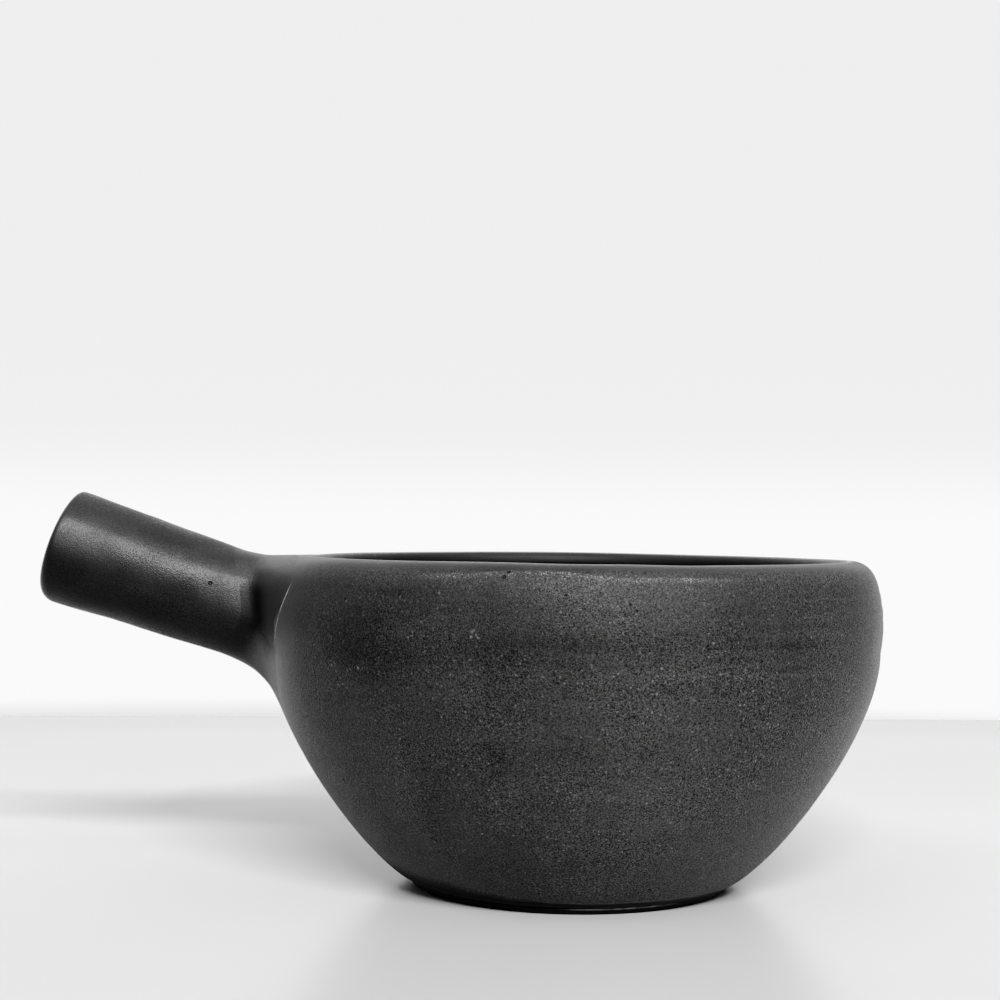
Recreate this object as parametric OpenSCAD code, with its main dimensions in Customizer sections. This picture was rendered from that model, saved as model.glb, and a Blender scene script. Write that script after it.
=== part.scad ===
// Single-handle cooking pot of dark glazed stoneware: a thrown bowl on a low
// foot ring, with one hollow handle luted to the wall just under the rim.
// Millimetres. The bowl's axis is Z, the foot stands on z = 0, and the handle
// points to -X.

/* [Bowl] */
// Outer diameter at the belly line
belly_d = 201.4; // [190:0.2:210]
// Height of the belly line
belly_h = 78; // [74:1:80]
// Height of the rim's crest
rim_h = 107.2; // [105:0.2:110]
// Diameter of the rim's crest
rim_d = 182; // [178:1:184]
// Height at which the wall turns over into the rim
turn_h = 98; // [96:0.5:99]
// Diameter at that height
turn_d = 200.2; // [198:0.2:202]
// Inward lean of the wall at that height
turn_lean = 13.7; // [8:0.1:18]
// Thickness of the wall
wall = 6; // [5:0.5:7]
// Height of the bowl's floor on the inside
floor_h = 10; // [9:0.5:12]
// How far the lip's inner edge stands in from the crest
lip_in = 3.6; // [2.5:0.1:4.5]
// How far the lip's inner edge lies below the crest
lip_drop = 3.8; // [3:0.1:5]

/* [Foot] */
// Diameter of the wall's lower edge, above the undercut
edge_d = 114.2; // [110:0.2:118]
// Height of the wall's lower edge
edge_h = 4.1; // [3.8:0.1:5]
// Outer diameter of the foot ring
foot_d = 104; // [98:1:106]
// Width of the foot ring's standing face and its edges
foot_w = 9; // [6:0.5:12]
// Height of the foot ring
foot_h = 2.4; // [1.6:0.1:3]

/* [Handle] */
// Distance from the bowl's axis to the centre of the handle's mouth
handle_reach = 172; // [160:1:185]
// Height of the centre of the handle's mouth
handle_tip_h = 110; // [106:1:114]
// Rise of the handle above level
handle_rise = 17.8; // [14:0.1:22]
// Diameter of the handle at its mouth
handle_tip_d = 38; // [34:0.5:42]
// Diameter of the handle at its root
handle_root_d = 34; // [31:0.2:36]
// Diameter of the hollow in the handle
handle_bore_d = 26; // [20:0.5:26]
// Depth of the hollow in the handle
handle_bore_depth = 60; // [45:1:62]

/* [Collar] */
// How far the collar reaches along the handle's top from the joint
collar_on_top = 15; // [8:1:20]
// How far the collar reaches along the handle's underside from the joint
collar_below = 24; // [12:1:28]
// How far the collar reaches along the handle's sides from the joint
collar_beside = 9; // [7:1:14]
// How far the collar spreads sideways over the wall
collar_side = 36; // [32:1:40]
// How much wider the collar's spread is towards the rim
collar_flare = 1; // [0.6:0.1:1]
// How far the collar spreads down the wall
collar_down = 36; // [30:1:40]

/* [Hidden] */

$fn = 96;
belly_r = belly_d / 2;
rim_r = rim_d / 2;
edge_r = edge_d / 2;
foot_r = foot_d / 2;
tip_r = handle_tip_d / 2;
root_r = handle_root_d / 2;
bore_r = handle_bore_d / 2;
lip_round = 5;
mouth_round = 1;
root_s = 75;

// Steps along the curves of the profile
n_wall = 22;
n_shoulder = 12;
n_turn_over = 10;
n_lip = 6;
n_inner = 20;

// Point on a cubic curve
function cubic(a, b, c, d, t) =
    a * pow(1 - t, 3) + b * 3 * pow(1 - t, 2) * t + c * 3 * (1 - t) * t * t + d * t * t * t;
// Direction of the same curve
function cubic_dir(a, b, c, d, t) =
    (b - a) * pow(1 - t, 2) + (c - b) * 2 * (1 - t) * t + (d - c) * t * t;
function unit(v) = v / norm(v);

// Outer profile: wall from the lower edge to the belly, then the shoulder up
// to where the wall turns over, then the turn on to the crest of the rim
wall_start = 35;
w0 = [edge_r, edge_h];
w1 = w0 + 20 * [cos(wall_start), sin(wall_start)];
w2 = [belly_r, belly_h - 22.8];
w3 = [belly_r, belly_h];
turn = [turn_d / 2, turn_h];
turn_dir = [-sin(turn_lean), cos(turn_lean)];
s1 = [belly_r, belly_h + 1];
s2 = turn - 11.2 * turn_dir;
s3 = [rim_r, rim_h];
outer = concat(
    [for (i = [0 : n_wall]) cubic(w0, w1, w2, w3, i / n_wall)],
    [for (i = [1 : n_shoulder]) cubic(w3, s1, s2, turn, i / n_shoulder)],
    [for (i = [1 : n_turn_over]) cubic(turn, turn + 3.6 * turn_dir, [rim_r + 6.8, rim_h], s3, i / n_turn_over)]);

// Inner profile: over the crest, round the lip, back under it to the wall,
// then one wall thickness inside the outer wall down to the floor
lip = [rim_r - lip_in, rim_h - lip_drop];
lip_curve = [for (i = [1 : n_lip])
    cubic(s3, [rim_r - 2.4, rim_h], [lip[0], rim_h - 1.4], lip, i / n_lip)];
in_belly = [belly_r - wall, belly_h];
under_lip = [for (i = [1 : n_inner])
    cubic(lip, [lip[0], lip[1] - 2.6], [in_belly[0], in_belly[1] + 19], in_belly, i / n_inner)];
function inset(t) = let (d = unit(cubic_dir(w0, w1, w2, w3, t)))
    cubic(w0, w1, w2, w3, t) + wall * [-d[1], d[0]];
t_floor = 0.16;
in_low = inset(t_floor);
in_low_dir = unit(cubic_dir(w0, w1, w2, w3, t_floor));
inner_wall = [for (i = [n_inner - 1 : -1 : 0]) inset(t_floor + (1 - t_floor) * i / n_inner)];
in_bend = [in_low[0] - (in_low[1] - floor_h) * in_low_dir[0] / in_low_dir[1], floor_h];
in_flat = [in_bend[0] - 16, floor_h];
floor_curve = [for (i = [1 : 6]) cubic(in_low, in_bend, in_bend, in_flat, i / 6)];

// Undercut below the lower edge
under_r = foot_r + 2;

// Handle frame: distances run from the mouth's centre back to the root
tip = [-handle_reach, 0, handle_tip_h];
back = [cos(handle_rise), 0, -sin(handle_rise)];
up = [sin(handle_rise), 0, cos(handle_rise)];
function handle_r(s) = tip_r + (root_r - tip_r) * (s - lip_round) / (root_s - lip_round);
// Point on the handle's surface at distance s and angle a from its top line
function on_handle(s, a) = tip + back * s + handle_r(s) * (up * cos(a) + [0, 1, 0] * sin(a));

// The outer profile again, by its length from the lower edge upwards
function lengths(p, i = 0, acc = 0) =
    i == len(p) - 1 ? [acc] : concat([acc], lengths(p, i + 1, acc + norm(p[i + 1] - p[i])));
run = lengths(outer);
r_by_z = [for (p = outer) [p[1], p[0]]];
u_by_z = [for (i = [0 : len(outer) - 1]) [outer[i][1], run[i]]];
r_by_u = [for (i = [0 : len(outer) - 1]) [run[i], outer[i][0]]];
z_by_u = [for (i = [0 : len(outer) - 1]) [run[i], outer[i][1]]];
// Point on the bowl at profile length u, turned by angle q from the handle's side
function on_bowl(u, q) = [-lookup(u, r_by_u) * cos(q), lookup(u, r_by_u) * sin(q), lookup(u, z_by_u)];

// Distance at which the handle's surface line at angle a meets the bowl
function outside(p) = norm([p[0], p[1]]) - lookup(p[2], r_by_z);
function meet(a, lo = 40, hi = 95, k = 0) = k == 24 ? (lo + hi) / 2 :
    let (m = (lo + hi) / 2) outside(on_handle(m, a)) > 0 ? meet(a, m, hi, k + 1) : meet(a, lo, m, k + 1);

// Collar: a smooth blend from the handle's surface to the bowl's surface
n_turn = 72;
n_blend = 10;
n_back = 4;
u_mid = lookup(87, u_by_z);
u_top = run[len(run) - 1];
function foot_u(a) = u_mid + (cos(a) > 0 ? u_top - u_mid : collar_down) * cos(a);
function foot_q(a) = collar_side / belly_r * 180 / PI * sin(a) * (1 + collar_flare * max(0, cos(a)));
function collar_ring(a) =
    let (
        s_meet = meet(a),
        reach = (cos(a) > 0 ? collar_on_top : collar_below) * pow(cos(a), 2) + collar_beside * pow(sin(a), 2),
        s_from = s_meet - reach,
        j = on_handle(s_meet, a),
        p0 = on_handle(s_from, a),
        d0 = unit(on_handle(s_meet, a) - p0),
        ju = lookup(j[2], u_by_z),
        jq = atan2(j[1], -j[0]),
        eu = foot_u(a),
        eq = foot_q(a),
        e = on_bowl(eu, eq),
        d1 = unit(e - on_bowl(eu - (eu - ju) * 0.08, eq - (eq - jq) * 0.08)),
        p1 = p0 + d0 * (0.64 + 0.26 * pow(sin(a), 2)) * reach,
        p2 = e - d1 * 0.97 * norm(e - j))
    concat(
        [for (i = [0 : n_blend]) cubic(p0, p1, p2, e, i / n_blend)],
        [for (i = [1 : n_back]) on_bowl(eu + (ju - eu) * i / n_back, eq + (jq - eq) * i / n_back)]);
n_ring = n_blend + n_back + 1;

module revolve(points) { rotate_extrude() polygon(points); }

module bowl_outside() {
    revolve(concat([[0, edge_h - 2]], [[edge_r - 2, edge_h - 2]], outer, [[0, rim_h]]));
}

module along_handle() {
    translate(tip) rotate([0, handle_rise - 90, 0]) children();
}

module bowl() {
    color([0.17, 0.17, 0.17])
        revolve(concat(
            [[0, foot_h], [under_r, foot_h]],
            outer, lip_curve, under_lip, inner_wall, floor_curve,
            [[0, floor_h]]));
}

module foot_ring() {
    in_r = foot_r - foot_w;
    color([0.22, 0.21, 0.20])
        revolve([
            [in_r + 0.8, 0], [foot_r - 0.5, 0], [foot_r, 0.5],
            [foot_r, foot_h - 0.8], [foot_r - 0.25, foot_h - 0.25], [foot_r - 0.8, foot_h],
            [in_r, foot_h], [in_r, 0.8]]);
}

module handle() {
    color([0.15, 0.15, 0.15])
        difference() {
            along_handle() revolve(concat(
                [[handle_r(95), -95], [tip_r, -lip_round]],
                [for (i = [1 : 8]) [tip_r - lip_round + lip_round * cos(i * 90 / 8),
                                    -lip_round + lip_round * sin(i * 90 / 8)]],
                [for (i = [0 : 4]) [bore_r + mouth_round - mouth_round * sin(i * 90 / 4),
                                    -mouth_round + mouth_round * cos(i * 90 / 4)]],
                [[bore_r, -handle_bore_depth], [0, -handle_bore_depth], [0, -95]]));
            bowl_outside();
        }
}

module handle_collar() {
    rings = [for (k = [0 : n_turn - 1]) collar_ring(k * 360 / n_turn)];
    points = [for (r = rings) each r];
    faces = [for (k = [0 : n_turn - 1]) for (i = [0 : n_ring - 1])
        let (
            a = k * n_ring + i,
            b = k * n_ring + (i + 1) % n_ring,
            c = ((k + 1) % n_turn) * n_ring + (i + 1) % n_ring,
            d = ((k + 1) % n_turn) * n_ring + i)
        each [[a, b, c], [a, c, d]]];
    color([0.20, 0.20, 0.20]) polyhedron(points, faces);
}

bowl();
foot_ring();
handle();
handle_collar();
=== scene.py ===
import bpy, math
import numpy as np
from mathutils import Matrix, Vector


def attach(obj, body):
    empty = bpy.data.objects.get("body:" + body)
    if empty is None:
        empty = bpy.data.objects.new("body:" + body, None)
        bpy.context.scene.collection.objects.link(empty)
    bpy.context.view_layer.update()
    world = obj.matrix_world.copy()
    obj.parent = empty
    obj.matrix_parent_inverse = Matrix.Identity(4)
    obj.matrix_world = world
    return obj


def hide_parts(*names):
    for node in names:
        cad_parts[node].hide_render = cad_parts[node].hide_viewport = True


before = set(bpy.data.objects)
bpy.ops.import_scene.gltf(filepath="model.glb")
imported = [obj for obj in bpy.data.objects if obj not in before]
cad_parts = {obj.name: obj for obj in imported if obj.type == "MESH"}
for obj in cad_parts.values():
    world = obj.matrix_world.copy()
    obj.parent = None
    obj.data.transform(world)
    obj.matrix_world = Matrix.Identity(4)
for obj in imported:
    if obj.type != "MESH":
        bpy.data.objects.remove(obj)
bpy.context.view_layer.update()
scene = bpy.context.scene

# ------------------------------------------------------------------ sizes (mm)
BELLY_R, BELLY_H = 100.7, 78.0
TURN_R, TURN_H, TURN_LEAN = 100.1, 98.0, math.radians(13.7)
RIM_R, RIM_H = 91.0, 107.2
EDGE_R, EDGE_H = 57.1, 4.1
WALL, FLOOR_H = 6.0, 10.0
FOOT_R, FOOT_W, FOOT_H = 52.0, 9.0, 2.4
REACH, TIP_H, RISE = 172.0, 110.0, math.radians(17.8)
TIP_R, ROOT_R, ROOT_S, LIP_ROUND = 19.0, 17.0, 75.0, 5.0
BORE_R, BORE_DEPTH = 13.0, 60.0
COLLAR_TOP, COLLAR_BELOW, COLLAR_BESIDE = 15.0, 24.0, 7.5
COLLAR_SIDE, COLLAR_DOWN, COLLAR_FLARE = 36.0, 36.0, 1.0
COLLAR_P1, COLLAR_P1_SIDE, COLLAR_P2 = 0.64, 0.26, 0.97


# ------------------------------------------------------------------ curves
def cubic(a, b, c, d, t):
    t = np.asarray(t, float)[..., None]
    a, b, c, d = (np.asarray(p, float) for p in (a, b, c, d))
    return a * (1 - t) ** 3 + 3 * b * (1 - t) ** 2 * t + 3 * c * (1 - t) * t * t + d * t ** 3


def unit(v):
    return v / np.linalg.norm(v, axis=-1, keepdims=True)


def smooth(x, lo, hi):
    t = np.clip((np.asarray(x, float) - lo) / (hi - lo), 0, 1)
    return t * t * (3 - 2 * t)


def bump(x, mid, half):
    return np.exp(-(((np.asarray(x, float) - mid) / half) ** 2))


def run_of(p):
    return np.r_[0, np.cumsum(np.linalg.norm(np.diff(p, axis=0), axis=1))]


def wrap(a):
    return (np.asarray(a) + np.pi) % (2 * np.pi) - np.pi


# outer profile, crest and lip, as one curve that is read by its length
w0 = np.array([EDGE_R, EDGE_H])
w1 = w0 + 20 * np.array([math.cos(math.radians(35)), math.sin(math.radians(35))])
w2, w3 = np.array([BELLY_R, BELLY_H - 22.8]), np.array([BELLY_R, BELLY_H])
turn, turn_dir = np.array([TURN_R, TURN_H]), np.array([-math.sin(TURN_LEAN), math.cos(TURN_LEAN)])
s1, s2, s3 = np.array([BELLY_R, BELLY_H + 1]), turn - 11.2 * turn_dir, np.array([RIM_R, RIM_H])
lip = np.array([RIM_R - 3.6, RIM_H - 3.8])
fine = np.linspace(0, 1, 401)
wall_curve = cubic(w0, w1, w2, w3, fine)
shoulder = cubic(w3, s1, s2, turn, fine)
turn_over = cubic(turn, turn + 3.6 * turn_dir, [RIM_R + 6.8, RIM_H], s3, fine)
lip_curve = cubic(s3, [RIM_R - 2.4, RIM_H], [lip[0], RIM_H - 1.4], lip, fine)
OUT = np.vstack([wall_curve, shoulder[1:], turn_over[1:], lip_curve[1:]])
OUT_U = run_of(OUT)
I_BELLY = len(wall_curve) - 1
I_TURN = I_BELLY + len(shoulder) - 1
I_TOP = I_TURN + len(turn_over) - 1
U_TOP = OUT_U[I_TOP]
U_END = OUT_U[-1]
tang = unit(np.gradient(OUT, axis=0))
OUT_N = np.stack([tang[:, 1], -tang[:, 0]], 1)


def U_OF_Z(z):
    return np.interp(z, OUT[: I_TOP + 1, 1], OUT_U[: I_TOP + 1])


rng = np.random.RandomState(7)


def waves(n, low, high, k_turn, seed):
    """n smooth random waves over (length, turn): wavelength low..high mm along the profile."""
    g = np.random.RandomState(seed)
    return [(2 * np.pi / g.uniform(low, high) * g.choice([-1, 1]), g.randint(0, k_turn + 1), g.uniform(0, 2 * np.pi)) for _ in range(n)]


def field(u, th, ws):
    u, th = np.broadcast_arrays(np.asarray(u, float), np.asarray(th, float))
    out = np.zeros(u.shape)
    for ku, kt, ph in ws:
        out += np.cos(ku * u + kt * th + ph)
    return out / math.sqrt(len(ws) / 2)


DENTS = waves(16, 22, 60, 9, 11)
LUMPS = waves(18, 8, 20, 24, 12)
# throwing marks: height on the profile, depth, half width, tilt phase, and the middle and half width of the stretch they show on
RINGS = [
    (U_OF_Z(97.8), -0.17, 0.6, 0.3, -2.50, 0.40), (U_OF_Z(96.5), 0.14, 0.7, 0.3, -2.42, 0.32),
    (U_OF_Z(93.6), -0.12, 0.8, 0.7, -2.70, 0.80), (U_OF_Z(90.9), 0.14, 0.7, 0.3, -2.42, 0.34),
    (U_OF_Z(88.6), -0.14, 0.7, 0.5, -2.55, 0.60), (U_OF_Z(83.4), -0.16, 1.1, 0.4, -2.25, 0.40),
    (U_OF_Z(78.4), 0.13, 0.7, 0.4, -2.17, 0.32), (U_OF_Z(77.0), -0.15, 0.7, 0.4, -2.19, 0.40),
    (U_OF_Z(75.6), -0.05, 0.6, 0.2, -1.42, 0.35), (U_OF_Z(97.8), -0.05, 0.9, 0.2, -0.95, 0.35),
    (U_OF_Z(85.2), 0.06, 1.1, 1.6, 3.00, 1.20), (U_OF_Z(79.5), -0.05, 0.9, 2.2, 1.20, 1.50),
    (U_OF_Z(94.5), -0.06, 0.8, 0.9, 1.60, 0.90), (U_OF_Z(91.0), 0.06, 0.9, 0.6, 0.70, 0.60),
    (U_OF_Z(70.0), -0.04, 0.9, 0.1, 0.90, 1.40), (U_OF_Z(63.0), 0.04, 1.8, 2.6, 2.20, 1.50),
    (U_OF_Z(55.0), -0.03, 1.2, 0.4, -1.00, 1.60), (U_OF_Z(46.0), 0.04, 2.0, 1.4, 0.20, 2.00),
    (U_OF_Z(35.0), -0.03, 1.4, 0.8, 1.90, 1.60),
]


def rim_wave(th):
    """Height of the rim above its nominal level: a hand-thrown edge."""
    a = wrap(th + np.pi / 2)  # 0 at the front, grows to the left
    near = 0.17 * np.cos(5 * -a + math.radians(60)) * bump(a, 0, 1.6)
    far = 0.62 * bump(wrap(th - math.radians(86)), 0, 0.62)
    near = near - (0.16 + 0.24 * bump(a, 0.09, 0.17) + 0.16 * bump(a, -0.32, 0.10)) * bump(a, 0, 1.3)
    return near + far - 0.5 * bump(wrap(th - math.radians(8)), 0, 0.32) + 0.3 * bump(wrap(th - np.pi), 0, 0.35)


def outer_disp(u, th):
    u, th = np.broadcast_arrays(np.asarray(u, float), np.asarray(th, float))
    z = np.interp(u, OUT_U, OUT[:, 1])
    body = smooth(u, 3, 22)
    d = body * (0.05 * np.cos(2 * th + 0.6) + 0.04 * np.cos(3 * th - 1.2) + 0.03 * field(u, th, DENTS))
    d = d + 0.010 * body * field(u, th, LUMPS)
    for mid, depth, half, tilt, at, wide in RINGS:
        d = d + depth * bump(u + tilt * (wrap(th - at)), mid, half) * bump(wrap(th - at), 0, wide)
    return d


def bowl_point(u, th, lift=0.0):
    u, th = np.broadcast_arrays(np.asarray(u, float), np.asarray(th, float))
    r, z = np.interp(u, OUT_U, OUT[:, 0]), np.interp(u, OUT_U, OUT[:, 1])
    nr, nz = np.interp(u, OUT_U, OUT_N[:, 0]), np.interp(u, OUT_U, OUT_N[:, 1])
    ln = np.hypot(nr, nz)
    d = outer_disp(np.minimum(u, U_TOP), th) + lift
    rr = r + nr / ln * d
    zz = z + nz / ln * d + rim_wave(th) * smooth(z, 60, 107)
    return np.stack([-rr * np.cos(th), rr * np.sin(th), zz], -1)


# ------------------------------------------------------------------ meshes
def make(name, verts, faces, smooth_faces=True):
    me = bpy.data.meshes.new(name)
    me.from_pydata((np.asarray(verts) * 0.001).tolist(), [], faces)
    me.validate()
    if smooth_faces:
        me.polygons.foreach_set("use_smooth", np.ones(len(me.polygons), bool))
    me.update()
    ob = bpy.data.objects.new(name, me)
    scene.collection.objects.link(ob)
    return ob


def grid_faces(rows, cols, start=0, close=False):
    """Quads between rows of a grid that closes around its columns."""
    out = []
    last = rows if close else rows - 1
    for i in range(last):
        a, b = start + i * cols, start + ((i + 1) % rows) * cols
        for j in range(cols):
            k = (j + 1) % cols
            out.append((a + j, a + k, b + k, b + j))
    return out


def set_attr(ob, name, values):
    at = ob.data.attributes.new(name, "FLOAT", "POINT")
    at.data.foreach_set("value", np.asarray(values, np.float32).ravel())


TURN = 320
TH = np.linspace(0, 2 * np.pi, TURN + 1)[:-1]

# bowl: rows from the middle of the underside, out, up, over the rim and down to the middle of the floor
edge_in = w0 + (np.array([FOOT_R + 2, FOOT_H]) - w0) * 0.42
u_soft = 1.5
edge_round = cubic(edge_in, w0 - (w0 - edge_in) * 0.25, w0, [np.interp(u_soft, OUT_U, OUT[:, 0]), np.interp(u_soft, OUT_U, OUT[:, 1])], np.linspace(0, 1, 8))
under = np.vstack([[[8.0, FOOT_H]], [[25.0, FOOT_H]], [[41.0, FOOT_H]], [[43.0, FOOT_H]], [[48.0, FOOT_H]], [[51.5, FOOT_H]], [[53.2, FOOT_H + 0.03]], [[FOOT_R + 2.1, FOOT_H + 0.12]], edge_round[:-1]])
rows_u = np.r_[np.linspace(u_soft, OUT_U[I_BELLY], 100)[:-1], np.linspace(OUT_U[I_BELLY], OUT_U[I_TURN], 37)[:-1], np.linspace(OUT_U[I_TURN], U_TOP, 25)[:-1], np.linspace(U_TOP, U_END, 12)]

in_belly = np.array([BELLY_R - WALL, BELLY_H])
under_lip = cubic(lip, lip - [0, 2.6], in_belly + [0, 19], in_belly, np.linspace(0, 1, 27))
t_floor = 0.16
ts = np.linspace(1, t_floor, 41)
wd = unit(np.gradient(wall_curve, axis=0))
wn = np.stack([-wd[:, 1], wd[:, 0]], 1)
inset = np.stack([np.interp(ts, fine, wall_curve[:, k] + WALL * wn[:, k]) for k in (0, 1)], 1)
low_dir = np.array([np.interp(t_floor, fine, wd[:, 0]), np.interp(t_floor, fine, wd[:, 1])])
in_bend = np.array([inset[-1, 0] - (inset[-1, 1] - FLOOR_H) * low_dir[0] / low_dir[1], FLOOR_H])
in_flat = np.array([in_bend[0] - 16, FLOOR_H])
floor_curve = cubic(inset[-1], in_bend, in_bend, in_flat, np.linspace(0, 1, 13))
floor_rows = np.stack([np.linspace(in_flat[0], 1.2, 24), np.full(24, FLOOR_H)], 1)
inner = np.vstack([under_lip[1:], inset[1:], floor_curve[1:], floor_rows[1:]])
inner_v = run_of(np.vstack([[lip], inner]))[1:]
it = unit(np.gradient(np.vstack([[lip], inner]), axis=0))[1:]
inner_n = np.stack([it[:, 1], -it[:, 0]], 1)
IN_LUMPS = waves(14, 12, 40, 10, 21)


def inner_disp(v, th, r):
    v, th, r = np.broadcast_arrays(v, th, r)
    spiral = np.sin(2 * np.pi * v / 7.3 + th + 0.6 * np.sin(v / 13.0))
    spiral = np.sign(spiral) * np.abs(spiral) ** 0.8
    d = 0.17 * spiral * smooth(v, 7, 20) * (0.55 + 0.45 * np.sin(v / 21.0 + 1.0) ** 2)
    d = d + 0.06 * field(v, th, IN_LUMPS) * smooth(v, 4, 18)
    d = d * smooth(r, 1.0, 12.0) + 0.7 * bump(r, 0, 7.0) - 0.35 * bump(r, 13, 5.0)
    return d


def near_collar(u, th):
    """1 at the edge of the collar, fading to 0 about 15 mm outside it."""
    u, th = np.broadcast_arrays(np.asarray(u, float), np.asarray(th, float))
    y, x = u - U_OF_Z(87.0), wrap(th) * BELLY_R
    ang = np.arctan2(np.abs(x) / COLLAR_SIDE, y / np.where(y > 0, U_TOP - U_OF_Z(87.0), COLLAR_DOWN))
    edge_x = COLLAR_SIDE * np.sin(ang) * (1 + COLLAR_FLARE * np.maximum(0, np.cos(ang)))
    edge_y = np.where(np.cos(ang) > 0, U_TOP - U_OF_Z(87.0), COLLAR_DOWN) * np.cos(ang)
    gap = np.hypot(x, y) - np.hypot(edge_x, edge_y)
    return 1 - smooth(gap, 2, 34)


V, calm, crest, near, inside = [], [], [], [], []
for r, z in under:
    V.append(np.stack([-r * np.cos(TH), r * np.sin(TH), np.full(TURN, z)], -1))
    calm.append(np.ones(TURN)); crest.append(np.zeros(TURN)); near.append(np.zeros(TURN)); inside.append(np.zeros(TURN))
for u in rows_u:
    V.append(bowl_point(u, TH))
    touch = near_collar(u, TH)
    near.append(touch)
    calm.append(np.maximum(touch, smooth(u, U_TOP - 7.5 + 1.2 * np.sin(3 * TH + 0.5), U_TOP - 4.5)))
    crest.append(np.full(TURN, bump(u, U_TOP + 0.3, 1.3)))
    inside.append(np.full(TURN, smooth(u, U_TOP + 1.8, U_TOP + 4.6)))
at_lip = bowl_point(U_END, TH)
for (r, z), v, (nr, nz) in zip(inner, inner_v, inner_n):
    d = inner_disp(v, TH, r)
    carry = outer_disp(U_TOP, TH) * (1 - smooth(v, 0, 20))  # the lip's own wobble fades out below it
    lipn = np.array([np.interp(U_END, OUT_U, OUT_N[:, 0]), np.interp(U_END, OUT_U, OUT_N[:, 1])])
    rr, zz = r + nr * d + lipn[0] * carry, z + nz * d + lipn[1] * carry + rim_wave(TH) * smooth(z, 60, 107)
    V.append(np.stack([-rr * np.cos(TH), rr * np.sin(TH), zz], -1))
    calm.append(np.full(TURN, 0.75)); crest.append(np.zeros(TURN)); near.append(np.zeros(TURN)); inside.append(np.ones(TURN))
n_rows = len(V)
verts = np.vstack(V + [[[0, 0, FOOT_H]], [[0, 0, V[-1][:, 2].mean()]]])
faces = [(b, a, d, c) for a, b, c, d in grid_faces(n_rows, TURN)]
bottom, top = n_rows * TURN, n_rows * TURN + 1
faces += [(bottom, j, (j + 1) % TURN) for j in range(TURN)]
faces += [(top, (n_rows - 1) * TURN + (j + 1) % TURN, (n_rows - 1) * TURN + j) for j in range(TURN)]
bowl = make("bowl_clay", verts, faces)
set_attr(bowl, "calm", np.r_[np.concatenate(calm), 1.0, 0.75])
set_attr(bowl, "crest", np.r_[np.concatenate(crest), 0.0, 0.0])
set_attr(bowl, "near", np.r_[np.concatenate(near), 0.0, 0.0])
set_attr(bowl, "inside", np.r_[np.concatenate(inside), 0.0, 1.0])

# foot ring
fr, fi = FOOT_R, FOOT_R - FOOT_W
ring_prof = np.vstack([
    [[fi + 0.9, 0.0]], [[(fr + fi) / 2, 0.0]], [[fr - 0.7, 0.0]],
    cubic([fr - 0.6, 0], [fr - 0.15, 0.03], [fr, 0.25], [fr, 0.7], np.linspace(0, 1, 6)),
    cubic([fr, FOOT_H - 1.0], [fr, FOOT_H - 0.4], [fr - 0.35, FOOT_H], [fr - 1.0, FOOT_H], np.linspace(0, 1, 7)),
    [[(fr + fi) / 2, FOOT_H]], [[fi + 0.3, FOOT_H]],
    cubic([fi, FOOT_H - 0.3], [fi, 0.6], [fi + 0.2, 0.15], [fi + 0.8, 0.01], np.linspace(0, 1, 7))])
FT = 320
FTH = np.linspace(0, 2 * np.pi, FT + 1)[:-1]
V = []
for r, z in ring_prof:
    rr = r + (0.12 * np.cos(2 * FTH + 1.0) + 0.07 * np.cos(5 * FTH)) * (0.4 + 0.6 * (z > 0.05))
    V.append(np.stack([-rr * np.cos(FTH), rr * np.sin(FTH), np.full(FT, z)], -1))
faces = [(b, a, d, c) for a, b, c, d in grid_faces(len(V), FT, close=True)]
foot = make("foot_ring_clay", np.vstack(V), faces)

# handle
TIP = np.array([-REACH, 0.0, TIP_H])
BACK = np.array([math.cos(RISE), 0.0, -math.sin(RISE)])
UP = np.array([math.sin(RISE), 0.0, math.cos(RISE)])
SIDE = np.array([0.0, 1.0, 0.0])
H_LUMPS = waves(14, 16, 60, 4, 31)
H_FINE = waves(12, 6, 14, 8, 32)


def handle_r(s):
    return TIP_R + (ROOT_R - TIP_R) * (np.asarray(s, float) - LIP_ROUND) / (ROOT_S - LIP_ROUND)


def flat_side(s, a):
    """The side towards the cook is a little flattened below a soft edge along the handle."""
    edge = np.interp(s, [0, 10, 18, 28, 37, 45, 55, 66], [-1.00, -0.99, -1.00, -1.05, -1.12, -1.11, -1.05, -0.99])
    tilt = np.interp(s, [0, 10, 18, 28, 40, 48, 56, 66], [0.10, 0.10, 0.09, 0.05, 0.03, 0.05, 0.09, 0.13])
    x = wrap(edge - a)
    ramp = np.where(x < -0.03, 0.0, np.where(x < 0.03, (x + 0.03) ** 2 / 0.12, x))
    return tilt * handle_r(s) * ramp * (1 - smooth(x, 0.10, 0.80))


def handle_disp(s, a):
    s, a = np.broadcast_arrays(np.asarray(s, float), np.asarray(a, float))
    return (0.04 * field(s, a, H_LUMPS) + 0.012 * field(s, a, H_FINE) - 0.22 * bump(s, 26, 9) * bump(wrap(a - np.pi), 0, 0.9)
            - flat_side(s, a)) * smooth(s, 0.5, 4)


def handle_point(s, a, lift=0.0, base=None):
    s, a = np.broadcast_arrays(np.asarray(s, float), np.asarray(a, float))
    r = (handle_r(s) if base is None else base) + handle_disp(s, a) + lift
    return TIP + s[..., None] * BACK + r[..., None] * (np.cos(a)[..., None] * UP + np.sin(a)[..., None] * SIDE)


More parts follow.
